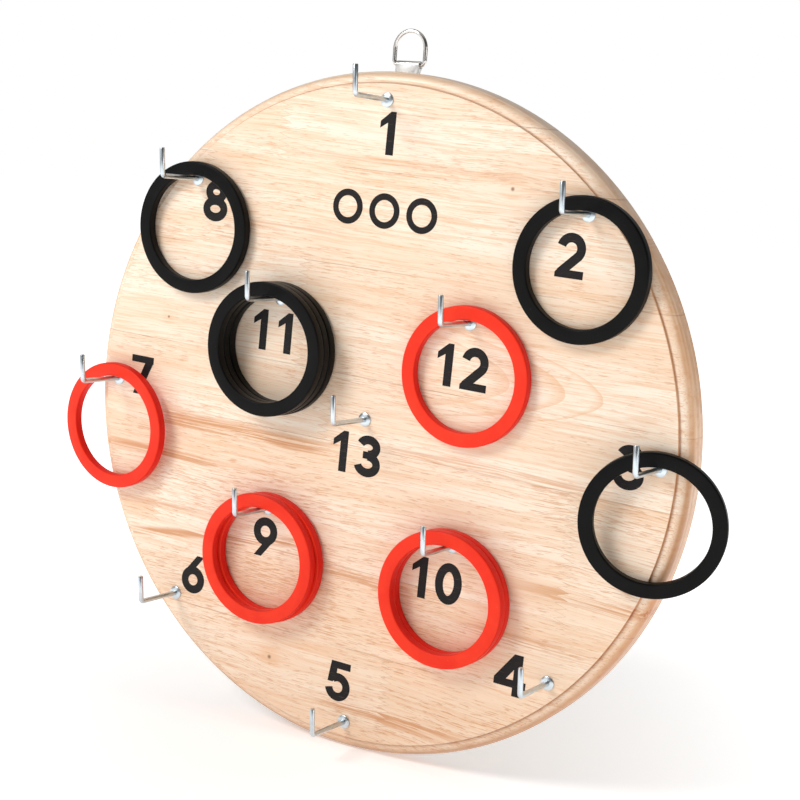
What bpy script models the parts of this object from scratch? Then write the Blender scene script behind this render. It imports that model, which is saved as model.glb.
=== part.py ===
"""Wall-hung hook and ring game: a round wooden target board with thirteen numbered screw hooks,
six black and six red rubber rings hanging on them, and a D-ring hanger on the back.

Metres, +Z up. The board faces -Y. The origin is the centre of the board's back face, which rests
against the wall. Clock-like angles on the board are measured in its plane, from +X towards +Z.
"""

import math

import bmesh
import bpy
from mathutils import Euler, Matrix, Vector

# The clearance that pieces which touch on the real game keep here.
GAP = 0.0003

# The board: a face inside a small step, then a quarter-round moulding and an eased back edge.
BOARD_RADIUS = 0.1905
BOARD_THICKNESS = 0.018
FACE_RADIUS = 0.1838
STEP_DEPTH = 0.0017
SHELF_WIDTH = 0.0008
BACK_EDGE_RADIUS = 0.0015
BOARD_STEPS = 72

# The hooks: eight on the outer circle, four on the inner one and one in the middle.
OUTER_HOOK_RADIUS = 0.175
INNER_HOOK_RADIUS = 0.086
OUTER_HOOK_ANGLES = (90, 45, 0, -45, -90, -135, 180, 135)
INNER_HOOK_ANGLES = (-135, -45, 135, 45)

WIRE_RADIUS = 0.00145
SHANK_LENGTH = 0.0329
ARM_LENGTH = 0.0157
BEND_RADIUS = 0.0022
SHANK_RISE = math.radians(1.85)
ARM_LEAN = math.radians(6.2)
SCREW_LENGTH = 0.012
SCREW_POINT_LENGTH = 0.004
SCREW_POINT_RADIUS = 0.0003
BEND_POINTS = 4

# Each collar is a washer with a slight dome: its height at the hole, at the shoulder and at the rim.
COLLAR_RADIUS = 0.0039
COLLAR_SHOULDER_RADIUS = 0.0028
COLLAR_HEIGHT = 0.001
COLLAR_SHOULDER_HEIGHT = 0.00086
COLLAR_RIM_HEIGHT = 0.00045
COLLAR_STEPS = 16

# The rings are flat rubber quoits with eased edges.
RING_OUTER_RADIUS = 0.038
RING_INNER_RADIUS = 0.0302
RING_THICKNESS = 0.0055
RING_EDGE = 0.0005
RING_STEPS = 40

# The rings on the third and seventh hooks hang past the board's edge, so they turn and lean
# against the rim. Each is given as its stand-off from the face, its lean and its yaw.
EDGE_RING_POSES = {
    3: (0.0027, math.radians(2.55), math.radians(13.4)),
    7: (0.0035, math.radians(2.2), math.radians(-3.5)),
}

# Rings that grip the shank a little to the right of their lowest hanging place.
RING_SHIFTS = {
    "red_ring_7": 0.0032,
    "black_ring_8": 0.0019,
    "red_ring_9_back": 0.003,
    "red_ring_9_front": 0.0014,
    "black_ring_11_back": 0.0015,
    "black_ring_11_middle": 0.0012,
    "black_ring_11_front": 0.0014,
    "red_ring_12": 0.0016,
}

# The hanger: a folded steel strap that two screws hold to the back, and a D-shaped wire ring.
STRAP_WIDTH = 0.0145
STRAP_SHEET = 0.0009
STRAP_BOTTOM = 0.157
D_WIRE_RADIUS = 0.00115
D_WIDTH = 0.0215
D_LEG_HEIGHT = 0.1949
D_TOP_HEIGHT = 0.2145
D_CORNER_RISE = 0.003
LOOP_SWEEP_END = -50
LOOP_TAIL_DROP = 0.0052
HANGER_SCREW_HEIGHTS = {"upper": 0.1836, "lower": 0.1645}
HANGER_SCREW_RADIUS = 0.0015
HANGER_SCREW_LENGTH = 0.0105
HANGER_HEAD_RADIUS = 0.003
HANGER_HEAD_HEIGHT = 0.0019
HANGER_HEAD_DOME = ((0.6, 0.93), (0.92, 0.6), (1.0, 0.2))
HANGER_SCREW_STEPS = 16

# Sizes worked out from the ones above.
MOULDING_RADIUS = BOARD_RADIUS - FACE_RADIUS - SHELF_WIDTH
LOOP_INNER_RADIUS = D_WIRE_RADIUS + GAP
LOOP_OUTER_RADIUS = LOOP_INNER_RADIUS + STRAP_SHEET
D_LEG_DEPTH = GAP + STRAP_SHEET + LOOP_INNER_RADIUS
STRAP_BACK_FACE = GAP + 2 * STRAP_SHEET
RING_STAND_OFF = COLLAR_HEIGHT + 2 * GAP
RING_LEAN = math.atan(
    (RING_STAND_OFF - GAP) / (RING_INNER_RADIUS + RING_OUTER_RADIUS)
)

# What hangs on each hook, from the board outwards.
RINGS_ON_HOOKS = {
    2: ["black_ring_2"],
    3: ["black_ring_3"],
    7: ["red_ring_7"],
    8: ["black_ring_8"],
    9: ["red_ring_9_back", "red_ring_9_front"],
    10: ["red_ring_10_back", "red_ring_10_front"],
    11: ["black_ring_11_back", "black_ring_11_middle", "black_ring_11_front"],
    12: ["red_ring_12"],
}


def clear_scene():
    for obj in list(bpy.data.objects):
        bpy.data.objects.remove(obj, do_unlink=True)


def new_collection(name):
    collection = bpy.data.collections.new(name)
    bpy.context.scene.collection.children.link(collection)
    return collection


def new_material(name, color, roughness, metallic=0.0):
    material = bpy.data.materials.new(name)
    material.use_nodes = True
    shader = material.node_tree.nodes["Principled BSDF"]
    shader.inputs["Base Color"].default_value = (*color, 1.0)
    shader.inputs["Roughness"].default_value = roughness
    shader.inputs["Metallic"].default_value = metallic
    return material


def add_object(name, data, collection, matrix, material=None):
    obj = bpy.data.objects.new(name, data)
    obj.matrix_world = matrix
    collection.objects.link(obj)
    if material is not None:
        data.materials.append(material)
    return obj


def facing_front(x, z, y=-BOARD_THICKNESS):
    """A frame on the board's face whose local +Z points out of the board and +Y points up."""
    return Matrix.Translation((x, y, z)) @ Matrix.Rotation(math.radians(90), 4, "X")


def facing_back(x, z):
    """A frame on the board's back whose local +Z points away from the board."""
    return Matrix.Translation((x, 0, z)) @ Matrix.Rotation(math.radians(-90), 4, "X")


def arc(center, radius, start, end, count):
    """Points on an arc in degrees, both ends included."""
    points = []
    for index in range(count + 1):
        angle = math.radians(start + (end - start) * index / count)
        points.append(
            (center[0] + radius * math.cos(angle), center[1] + radius * math.sin(angle))
        )
    return points


def turned(name, profile, steps, collection, matrix, material=None, closed=False):
    """Turns a profile of (radius, height) points, outer side downwards, about the local Z axis."""
    mesh = bpy.data.meshes.new(name)
    edges = [(index, index + 1) for index in range(len(profile) - 1)]
    if closed:
        edges.append((len(profile) - 1, 0))
    mesh.from_pydata([(radius, 0, height) for radius, height in profile], edges, [])
    obj = add_object(name, mesh, collection, matrix, material)
    screw = obj.modifiers.new("turn", "SCREW")
    screw.axis = "Z"
    screw.steps = steps
    screw.render_steps = steps
    screw.use_merge_vertices = True
    screw.merge_threshold = 0.00001
    screw.use_smooth_shade = True
    return obj


def wire(name, points, radius, collection, matrix, material, radii=None, cyclic=False):
    """A round wire along a list of points, with filled ends unless it closes on itself."""
    curve = bpy.data.curves.new(name, "CURVE")
    curve.dimensions = "3D"
    curve.bevel_depth = radius
    curve.bevel_resolution = 2
    curve.use_fill_caps = not cyclic
    spline = curve.splines.new("POLY")
    spline.points.add(len(points) - 1)
    spline.use_cyclic_u = cyclic
    for index, point in enumerate(points):
        spline.points[index].co = (*point, 1)
        if radii is not None:
            spline.points[index].radius = radii[index] / radius
    return add_object(name, curve, collection, matrix, material)


def flat_outline(name, outlines, thickness, collection, matrix):
    """A mesh plate from closed 2D outlines in the local XY plane, centred on it in thickness."""
    curve = bpy.data.curves.new(name, "CURVE")
    curve.dimensions = "2D"
    curve.fill_mode = "BOTH"
    curve.extrude = thickness / 2
    for outline in outlines:
        spline = curve.splines.new("POLY")
        spline.points.add(len(outline) - 1)
        spline.use_cyclic_u = True
        for index, point in enumerate(outline):
            spline.points[index].co = (point[0], point[1], 0, 1)
    guide = add_object(name + "_outline", curve, collection, matrix)
    bpy.context.view_layer.update()
    graph = bpy.context.evaluated_depsgraph_get()
    mesh = bpy.data.meshes.new_from_object(guide.evaluated_get(graph))
    bpy.data.objects.remove(guide, do_unlink=True)
    shape = bmesh.new()
    shape.from_mesh(mesh)
    bmesh.ops.remove_doubles(shape, verts=shape.verts, dist=0.000001)
    bmesh.ops.recalc_face_normals(shape, faces=shape.faces)
    shape.to_mesh(mesh)
    shape.free()
    return add_object(name, mesh, collection, matrix)


def bore_cutter(name, bores, collection):
    """One cutter of several round bores, each given as (frame, radius, depth)."""
    shape = bmesh.new()
    for frame, radius, depth in bores:
        made = bmesh.ops.create_cone(
            shape,
            cap_ends=True,
            segments=12,
            radius1=radius,
            radius2=radius,
            depth=2 * depth,
        )
        bmesh.ops.transform(shape, matrix=frame, verts=made["verts"])
    mesh = bpy.data.meshes.new(name)
    shape.to_mesh(mesh)
    shape.free()
    return as_helper(add_object(name, mesh, collection, Matrix()))


def as_helper(obj):
    obj.hide_render = True
    obj.display_type = "WIRE"
    return obj


def boolean(obj, cutter, operation):
    modifier = obj.modifiers.new(cutter.name, "BOOLEAN")
    modifier.operation = operation
    modifier.solver = "EXACT"
    modifier.object = cutter


def hook_places():
    """Hook number to its (x, z) place on the board's face."""
    places = {}
    number = 1
    for radius, angles in (
        (OUTER_HOOK_RADIUS, OUTER_HOOK_ANGLES),
        (INNER_HOOK_RADIUS, INNER_HOOK_ANGLES),
    ):
        for angle in angles:
            turn = math.radians(angle)
            places[number] = (radius * math.cos(turn), radius * math.sin(turn))
            number += 1
    places[number] = (0.0, 0.0)
    return places


def make_board(places, parts, cutters, material):
    top = BOARD_THICKNESS
    shelf = top - STEP_DEPTH
    moulding_center = (FACE_RADIUS + SHELF_WIDTH, shelf - MOULDING_RADIUS)
    back_center = (BOARD_RADIUS - BACK_EDGE_RADIUS, BACK_EDGE_RADIUS)
    profile = [(0, top), (FACE_RADIUS, top), (FACE_RADIUS, shelf)]
    profile += arc(moulding_center, MOULDING_RADIUS, 90, 0, 4)
    profile += arc(back_center, BACK_EDGE_RADIUS, 0, -90, 2)
    profile.append((0, 0))
    board = turned("board", profile, BOARD_STEPS, parts, facing_front(0, 0, 0), material)

    bores = []
    for x, z in places.values():
        bores.append((facing_front(x, z), WIRE_RADIUS + GAP, SCREW_LENGTH + GAP))
    for height in HANGER_SCREW_HEIGHTS.values():
        depth = HANGER_SCREW_LENGTH - STRAP_BACK_FACE
        bores.append((facing_back(0, height), HANGER_SCREW_RADIUS + GAP, depth + GAP))
    boolean(board, bore_cutter("screw_bores", bores, cutters), "DIFFERENCE")
    return board


def make_hook(number, place, parts, material):
    """An L-shaped screw hook: a pointed end in the board, a shank out of it and an upright arm."""
    shank = Vector((0, math.sin(SHANK_RISE), math.cos(SHANK_RISE)))
    arm = Vector((0, math.cos(ARM_LEAN), math.sin(ARM_LEAN)))
    corner = shank * SHANK_LENGTH
    turn = shank.angle(arm)
    setback = BEND_RADIUS * math.tan(turn / 2)
    bend_center = corner + (arm - shank).normalized() * BEND_RADIUS / math.cos(turn / 2)

    points = [Vector((0, 0, -SCREW_LENGTH))]
    points.append(Vector((0, 0, SCREW_POINT_LENGTH - SCREW_LENGTH)))
    points.append(Vector((0, 0, 0)))
    bend_start = corner - shank * setback
    for index in range(BEND_POINTS + 1):
        turned_by = Matrix.Rotation(-turn * index / BEND_POINTS, 3, "X")
        points.append(bend_center + turned_by @ (bend_start - bend_center))
    points.append(corner + arm * ARM_LENGTH)
    radii = [SCREW_POINT_RADIUS] + [WIRE_RADIUS] * (len(points) - 1)
    frame = facing_front(*place)
    return wire(f"hook_{number}", points, WIRE_RADIUS, parts, frame, material, radii)


def make_collar(number, place, parts, material):
    """The domed washer that is pressed on the hook and sits on the board round its shank."""
    bore = WIRE_RADIUS + GAP
    profile = [
        (bore, GAP + COLLAR_HEIGHT),
        (COLLAR_SHOULDER_RADIUS, GAP + COLLAR_SHOULDER_HEIGHT),
        (COLLAR_RADIUS, GAP + COLLAR_RIM_HEIGHT),
        (COLLAR_RADIUS, GAP),
        (bore, GAP),
    ]
    frame = facing_front(*place)
    name = f"hook_collar_{number}"
    return turned(name, profile, COLLAR_STEPS, parts, frame, material, closed=True)


def ring_frame(place, layer, shift, stand_off, lean, yaw):
    """The frame of one hanging ring, at the centre of its back face, with +Z out of its front."""
    turn = Euler((math.radians(90) + lean, 0, yaw), "XYZ").to_matrix()
    normal = turn @ Vector((0, 0, 1))
    up = turn @ Vector((0, 1, 0))
    start = Vector((place[0], -BOARD_THICKNESS - stand_off, place[1]))
    start += normal * layer * (RING_THICKNESS + GAP)

    # The front upper edge of the hole rests on the rising shank.
    front = start + normal * RING_THICKNESS
    reach = -front.y - BOARD_THICKNESS
    shank_top = place[1] + WIRE_RADIUS / math.cos(SHANK_RISE) + reach * math.tan(SHANK_RISE)
    slope = up.z + up.y * math.tan(SHANK_RISE)
    lift = (shank_top + GAP - front.z) / slope

    # A ring that has shifted sideways rides up a little, because its hole is round.
    hang = RING_INNER_RADIUS - WIRE_RADIUS - GAP
    drop = RING_INNER_RADIUS - hang + math.sqrt(hang**2 - shift**2)
    sideways = turn @ Vector((1, 0, 0))
    center = start + up * (lift - drop) + sideways * shift
    return Matrix.Translation(center) @ turn.to_4x4()


def make_rings(number, place, names, parts, black, red):
    low, high = 0.0, RING_THICKNESS
    profile = [
        (RING_INNER_RADIUS, high - RING_EDGE),
        (RING_INNER_RADIUS + RING_EDGE, high),
        (RING_OUTER_RADIUS - RING_EDGE, high),
        (RING_OUTER_RADIUS, high - RING_EDGE),
        (RING_OUTER_RADIUS, low + RING_EDGE),
        (RING_OUTER_RADIUS - RING_EDGE, low),
        (RING_INNER_RADIUS + RING_EDGE, low),
        (RING_INNER_RADIUS, low + RING_EDGE),
    ]
    for layer, name in enumerate(names):
        pose = EDGE_RING_POSES.get(number, (RING_STAND_OFF, RING_LEAN, 0.0))
        frame = ring_frame(place, layer, RING_SHIFTS.get(name, 0.0), *pose)
        material = red if name.startswith("red") else black
        turned(name, profile, RING_STEPS, parts, frame, material, closed=True)


def make_strap(parts, cutters, material):
    """The strap's side view is extruded along X, then trimmed to its rounded plan and drilled."""
    center = (D_LEG_DEPTH, D_LEG_HEIGHT)
    side = [(GAP, STRAP_BOTTOM)]
    side += arc(center, LOOP_OUTER_RADIUS, 180, LOOP_SWEEP_END, 14)
    side.append((STRAP_BACK_FACE, D_LEG_HEIGHT - LOOP_TAIL_DROP))
    side.append((STRAP_BACK_FACE, STRAP_BOTTOM))
    eye = arc(center, LOOP_INNER_RADIUS, 0, 360, 14)[:-1]
    sideways = Matrix(((0, 0, 1, 0), (1, 0, 0, 0), (0, 1, 0, 0), (0, 0, 0, 1)))
    strap = flat_outline("hanger_strap", [side, eye], STRAP_WIDTH, parts, sideways)
    strap.data.materials.append(material)

    half = STRAP_WIDTH / 2
    plan = [(half + GAP, D_TOP_HEIGHT), (-half - GAP, D_TOP_HEIGHT)]
    plan += arc((0, STRAP_BOTTOM + half), half, 180, 360, 12)
    upright = facing_front(0, 0, D_LEG_DEPTH)
    trim = flat_outline("strap_plan", [plan], 4 * D_LEG_DEPTH, cutters, upright)
    boolean(strap, as_helper(trim), "INTERSECT")

    holes = []
    for height in HANGER_SCREW_HEIGHTS.values():
        radius = HANGER_SCREW_RADIUS + GAP
        holes.append((facing_back(0, height), radius, 2 * D_LEG_DEPTH))
    boolean(strap, bore_cutter("strap_holes", holes, cutters), "DIFFERENCE")
    return strap


def make_hanger_ring(parts, material):
    """A closed D of wire, whose straight leg lies in the strap's eye. Its origin is on that leg."""
    half_width = D_WIDTH / 2 - D_WIRE_RADIUS
    leg_end = STRAP_WIDTH / 2 + GAP
    crown = D_TOP_HEIGHT - D_WIRE_RADIUS - D_LEG_HEIGHT - half_width
    outline = [(-leg_end, 0), (leg_end, 0), (half_width, D_CORNER_RISE)]
    outline += arc((0, crown), half_width, 0, 180, 16)
    outline.append((-half_width, D_CORNER_RISE))
    points = [(x, height, 0) for x, height in outline]
    frame = facing_front(0, D_LEG_HEIGHT, D_LEG_DEPTH)
    return wire("hanger_ring", points, D_WIRE_RADIUS, parts, frame, material, cyclic=True)


def make_hanger_screw(name, height, parts, material):
    """A pan-head screw through the strap into the board's back."""
    seat = STRAP_BACK_FACE + GAP
    point = STRAP_BACK_FACE - HANGER_SCREW_LENGTH + GAP
    profile = [(0, seat + HANGER_HEAD_HEIGHT)]
    for radius_share, height_share in HANGER_HEAD_DOME:
        radius = HANGER_HEAD_RADIUS * radius_share
        profile.append((radius, seat + HANGER_HEAD_HEIGHT * height_share))
    profile += [
        (HANGER_HEAD_RADIUS, seat),
        (HANGER_SCREW_RADIUS, seat),
        (HANGER_SCREW_RADIUS, point + 2 * HANGER_SCREW_RADIUS),
        (0, point),
    ]
    frame = facing_back(0, height)
    return turned(name, profile, HANGER_SCREW_STEPS, parts, frame, material)


def main():
    clear_scene()
    parts = new_collection("hook_and_ring_game")
    cutters = new_collection("cutters")
    wood = new_material("pale_wood", (0.86, 0.66, 0.45), 0.5)
    zinc = new_material("zinc_plated_steel", (0.78, 0.79, 0.8), 0.22, 1.0)
    nickel = new_material("nickel_plated_steel", (0.82, 0.8, 0.77), 0.18, 1.0)
    black = new_material("black_rubber", (0.03, 0.03, 0.032), 0.6)
    red = new_material("red_rubber", (0.82, 0.05, 0.025), 0.55)

    places = hook_places()
    make_board(places, parts, cutters, wood)
    for number, place in places.items():
        make_hook(number, place, parts, zinc)
        make_collar(number, place, parts, zinc)
    for number, names in RINGS_ON_HOOKS.items():
        make_rings(number, places[number], names, parts, black, red)
    make_strap(parts, cutters, nickel)
    make_hanger_ring(parts, nickel)
    for which, height in HANGER_SCREW_HEIGHTS.items():
        make_hanger_screw(f"hanger_screw_{which}", height, parts, nickel)


main()
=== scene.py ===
"""Looks for the wall-hung hook and ring game: fine meshes and procedural materials that take the
place of the plain CAD nodes, the printed numbers, and the camera, floor and lights.

Everything is in metres in the CAD frame: the board's back face lies in the plane y = 0 and its
face looks along -Y, +Z is up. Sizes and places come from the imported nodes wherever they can.
"""

import math
import random

import bmesh
import bpy
import numpy as np
from mathutils import Matrix, Vector


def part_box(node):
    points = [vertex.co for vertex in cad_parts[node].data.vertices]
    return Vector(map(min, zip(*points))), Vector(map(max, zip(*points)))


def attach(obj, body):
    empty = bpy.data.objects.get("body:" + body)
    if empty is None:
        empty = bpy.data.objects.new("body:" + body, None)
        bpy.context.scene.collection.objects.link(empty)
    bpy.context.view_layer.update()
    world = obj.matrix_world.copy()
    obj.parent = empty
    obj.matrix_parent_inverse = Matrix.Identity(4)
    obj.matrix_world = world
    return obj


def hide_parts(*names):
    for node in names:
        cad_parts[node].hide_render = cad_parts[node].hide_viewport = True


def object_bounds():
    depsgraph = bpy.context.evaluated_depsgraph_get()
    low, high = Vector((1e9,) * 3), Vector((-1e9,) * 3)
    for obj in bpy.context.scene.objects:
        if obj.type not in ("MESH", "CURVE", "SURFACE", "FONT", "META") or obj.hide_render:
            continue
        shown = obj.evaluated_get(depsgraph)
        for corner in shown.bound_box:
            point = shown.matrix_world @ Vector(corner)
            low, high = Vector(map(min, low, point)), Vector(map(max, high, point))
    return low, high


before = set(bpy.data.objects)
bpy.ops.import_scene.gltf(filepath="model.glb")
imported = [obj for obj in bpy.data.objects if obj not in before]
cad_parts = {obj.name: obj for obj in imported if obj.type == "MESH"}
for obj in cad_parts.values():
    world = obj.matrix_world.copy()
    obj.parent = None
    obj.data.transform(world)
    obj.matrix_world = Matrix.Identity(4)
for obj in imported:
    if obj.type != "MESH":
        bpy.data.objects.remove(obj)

cad_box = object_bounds()

BOARD_BODY = "board_with_hooks"
HANGER_BODY = "hanger_ring"

# The camera: where it stands round the board, what it looks at and how far it is rolled.
CAMERA_PLACE = (0.4778, -0.8142, 0.1548)
CAMERA_AIM = (0.0214, -0.018, 0.014)
CAMERA_ROLL = math.radians(4.18)
CAMERA_LENS = 76.4

# The board's rim, repeated from the design, and the small radius of the step's edges.
FACE_RADIUS = 0.1838
STEP_DEPTH = 0.0017
SHELF_WIDTH = 0.0008
BACK_EDGE_RADIUS = 0.0015
EASE = 0.00035
BOARD_SEGMENTS = 256

# The hooks' wire, repeated from the design.
SHANK_RISE = math.radians(1.85)
ARM_LEAN = math.radians(6.2)
BEND_RADIUS = 0.0022
SCREW_POINT_LENGTH = 0.004

# The roundness of every wire, the bend's points, the length of the arm's eased end, and the wire's
# thickness at that end and at its screw point, as shares of its full thickness.
WIRE_RESOLUTION = 6
BEND_STEPS = 10
TIP_EASE = 0.0003
TIP_SHARE = 0.84
POINT_SHARE = 0.2

# The collars' rolled rim, and the share of the collar's radius that the wire fills.
COLLAR_RIM_RADIUS = 0.00028
COLLAR_BORE = 0.36
COLLAR_SEGMENTS = 40

# The hanger's sheet, wire and screw heads, repeated from the design.
STRAP_SHEET = 0.0009
D_CORNER_RISE = 0.003
D_LEG_HEIGHT = 0.1949
HANGER_HEAD_HEIGHT = 0.0019

# The strap's screw holes, the half gap of the crease between its two layers and its rounded edges.
STRAP_HOLE_RADIUS = 0.0018
CREASE_HALF_GAP = 0.00006
STRAP_BEVEL = 0.00016

# The hanger screws' shank and point, and the cross in their heads: its arms' half width, and the
# plate that cuts it, half of which is above the head.
SCREW_SHANK_RADIUS = 0.0015
SCREW_POINT = 0.003
CROSS_HALF_WIDTH = 0.00035
CROSS_PLATE = 0.0022

# The rings' edges are moulded to this small radius.
RING_EDGE_RADIUS = 0.0009
RING_SEGMENTS = 160

# A skew direction, along which no two elements of a mesh lie level.
SORT_DIRECTION = Vector((1.0, 0.6181, 0.2357))

# The panel was cut and printed a little out of square with the hooks.
PANEL_TURN = math.radians(1.8)

# The key light's place, size, power and tint.
KEY_PLACE = (-0.8, -1.25, 1.15)
KEY_SIZE = 0.8
KEY_POWER = 20.3
KEY_COLOR = (1, 0.985, 0.965)

# The floor's half width, and its gap below the board.
FLOOR_REACH = 6.0
FLOOR_GAP = 0.0003

# The room round the object, and its soft panels: direction, inner and outer spread in degrees and
# strength.
ROOM_LEVEL = 0.08
PANELS = [
    ((-0.95, -0.2, 0.3), 10, 24, 0.7),
    ((-0.5, -0.86, 0.1), 8, 20, 1.1),
    ((0.1, -0.1, 1.0), 18, 40, 0.5),
    ((1.0, 0.02, 0.12), 4, 11, 4.5),
    ((-0.2, 1.0, 0.5), 20, 50, 0.4),
]

# Printed numbers: height, stroke and gaps between digits as shares of it, ink thickness and each
# number's centre from its hook.
NUMBER_HEIGHT = 0.0233
STROKE = 0.212
DIGIT_GAP = 0.23
GAP_BEFORE_ONE = 0.32
INK = 0.00005
NUMBER_OFFSETS = {
    1: (0.0014, -0.0177),
    2: (-0.0081, -0.0216),
    3: (-0.0166, -0.0017),
    4: (-0.0220, -0.0002),
    5: (-0.0058, 0.0226),
    6: (0.0122, 0.0136),
    7: (0.0172, 0.0040),
    8: (0.0136, -0.0119),
    9: (-0.0010, -0.0174),
    10: (-0.0082, -0.0211),
    11: (-0.0045, -0.0191),
    12: (-0.0027, -0.0240),
    13: (-0.0040, -0.0201),
}

# The plain mark: three rings in a row, each as wide as its middle line, and the step between them.
MARK_CENTER = (0.003, 0.1155)
MARK_RADIUS = 0.0078
MARK_STROKE = 0.0036
MARK_PITCH = 0.0235

# The glued staves, from the top down: lower edge, place of a finger joint and tone from 0 (pale)
# to 1 (peach).
# The tones grow peachier towards the bottom: partly the staves' own colour, partly painted shade for the
# light that falls off towards the board's lower edge.
STAVES = [
    (0.168, 0.06, 0.4),
    (0.1366, -0.07, 0.15),
    (0.083, -0.1187, 0.3),
    (0.023, 0.22, 0.2),
    (-0.016, -0.027, 0.25),
    (-0.086, 0.13, 0.55),
    (-0.132, -0.09, 0.68),
    (-0.20, 0.03, 0.9),
]

# Amber streaks along the grain: left end, right end, height at each of them, half width, strength.
STREAKS = [
    (-0.140, -0.030, -0.0222, -0.0222, 0.0060, 1.0),
    (-0.185, -0.105, -0.0450, -0.0450, 0.0035, 0.9),
    (-0.170, -0.110, -0.0777, -0.0741, 0.0030, 0.6),
    (-0.161, -0.032, -0.0972, -0.0784, 0.0032, 1.0),
    (0.012, 0.140, -0.0140, -0.0140, 0.0040, 0.6),
    (-0.020, 0.036, -0.0890, -0.0908, 0.0040, 0.8),
    (0.110, 0.190, -0.0720, -0.0720, 0.0045, 0.8),
    (-0.010, 0.075, -0.1665, -0.1665, 0.0045, 0.9),
    (-0.130, -0.100, -0.1180, -0.1150, 0.0040, 0.5),
    (0.070, 0.130, -0.1010, -0.1010, 0.0040, 0.7),
    (-0.095, -0.035, 0.0990, 0.0990, 0.0030, 0.5),
    (-0.060, 0.080, 0.1420, 0.1420, 0.0025, 0.4),
]

# The height of the ramp that holds the staves' values, and a shift that keeps the joints' places
# above 0 in it.
STAVE_SPAN = 0.4
JOINT_SHIFT = 0.3

# The finger joints: the length of a stave's pieces, and the fingers' own length and pitch.
STAVE_PIECE = 0.269
FINGER_LENGTH = 0.007
FINGER_PITCH = 0.0042

# Nested arches of growth rings: x of the outer tip, z of the middle, how blunt the tip is, how far
# in they reach, and their step, which is taken on the way in to the power 0.75.
ARCH_TIP = 0.138
ARCH_MIDDLE = 0.0345
ARCH_BEND = 0.0085
ARCH_REACH = 0.13
ARCH_SPACING = 0.055

# Small brown specks in the wood: x, z and radius.
SPECKS = [(0.0753, 0.1357, 0.0011), (-0.049, -0.150, 0.0012), (-0.141, 0.037, 0.0008)]


# ---------------------------------------------------------------------------------------------
# Node graphs
# ---------------------------------------------------------------------------------------------


class Graph:
    """The node tree of a material or of the world, with short ways to add nodes and do maths."""

    def __init__(self, owner):
        owner.use_nodes = True
        self.owner = owner
        self.nodes = owner.node_tree.nodes
        self.links = owner.node_tree.links

    def add(self, kind, inputs=None, **settings):
        node = self.nodes.new(kind)
        for name, value in settings.items():
            setattr(node, name, value)
        for key, value in (inputs or {}).items():
            self.feed(node.inputs[key], value)
        return node

    def feed(self, socket, value):
        if isinstance(value, bpy.types.NodeSocket):
            self.links.new(value, socket)
        else:
            socket.default_value = value

    def math(self, operation, *values, clamp=False):
        inputs = dict(enumerate(values))
        node = self.add("ShaderNodeMath", inputs, operation=operation, use_clamp=clamp)
        return node.outputs[0]

    def vector(self, operation, first, second):
        node = self.add("ShaderNodeVectorMath", {0: first, 1: second}, operation=operation)
        return node.outputs[0]

    def combine(self, x, y, z):
        return self.add("ShaderNodeCombineXYZ", {0: x, 1: y, 2: z}).outputs[0]

    def mix(self, factor, first, second, blend="MIX"):
        node = self.add("ShaderNodeMix", data_type="RGBA", blend_type=blend)
        self.feed(node.inputs[0], factor)
        self.feed(node.inputs[6], first)
        self.feed(node.inputs[7], second)
        return node.outputs[2]

    def noise(self, vector, scale, detail=2.0, roughness=0.5, distortion=0.0):
        inputs = {
            "Vector": vector,
            "Scale": scale,
            "Detail": detail,
            "Roughness": roughness,
            "Distortion": distortion,
        }
        return self.add("ShaderNodeTexNoise", inputs).outputs[0]

    def smooth(self, value, low, high):
        """0 below low, 1 above high and a smooth step between them."""
        inputs = {"Value": value, "From Min": low, "From Max": high}
        node = self.add("ShaderNodeMapRange", inputs, interpolation_type="SMOOTHSTEP")
        return node.outputs[0]

    def line(self, distance, low, high):
        """1 below low, 0 above high and a smooth step between them."""
        inputs = {"Value": distance, "From Min": low, "From Max": high, "To Min": 1.0, "To Max": 0.0}
        node = self.add("ShaderNodeMapRange", inputs, interpolation_type="SMOOTHSTEP")
        return node.outputs[0]

    def stretched_noise(self, point, frequencies, detail=2.0, roughness=0.5):
        """Noise with its own number of flecks per metre along each axis."""
        return self.noise(self.vector("MULTIPLY", point, frequencies), 1.0, detail, roughness)

    def object_coordinates(self):
        return self.add("ShaderNodeTexCoord").outputs["Object"]

    def normal(self):
        """X, Y and Z of the surface's own normal."""
        normal = self.add("ShaderNodeTexCoord").outputs["Normal"]
        return self.add("ShaderNodeSeparateXYZ", {0: normal}).outputs

    def length(self, vector):
        return self.add("ShaderNodeVectorMath", {0: vector}, operation="LENGTH").outputs["Value"]

    def bump(self, height, distance, strength=1.0):
        inputs = {"Height": height, "Distance": distance, "Strength": strength}
        return self.add("ShaderNodeBump", inputs).outputs[0]

    def finish(self, **sockets):
        shader = self.nodes["Principled BSDF"]
        for name, value in sockets.items():
            self.feed(shader.inputs[name.replace("_", " ")], value)
        return self.owner


def new_graph(name):
    return Graph(bpy.data.materials.new(name))


def color(red, green, blue):
    return (red, green, blue, 1.0)


PALE_WOOD = color(0.95, 0.81, 0.665)
PEACH_WOOD = color(0.885, 0.67, 0.49)
TAN_WOOD = color(0.80, 0.475, 0.265)
ORANGE_WOOD = color(0.62, 0.265, 0.095)
AMBER_WOOD = color(0.63, 0.275, 0.105)
BROWN_WOOD = color(0.43, 0.205, 0.095)
KNOT_WOOD = color(0.22, 0.085, 0.03)
# The end grain's own tint, which the rim's faces that do not face up also take as painted shade.
END_GRAIN_AND_SHADE_TINT = color(0.94, 0.70, 0.48)
RIM_BAND_TINT = color(0.78, 0.63, 0.50)
# Painted shade for the faces under the board.
UNDERSIDE_SHADE_TINT = color(0.66, 0.58, 0.52)
# Painted shade for the groove of the step.
QUIRK_SHADE_TINT = color(0.62, 0.43, 0.32)


# ---------------------------------------------------------------------------------------------
# Materials
# ---------------------------------------------------------------------------------------------


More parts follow.
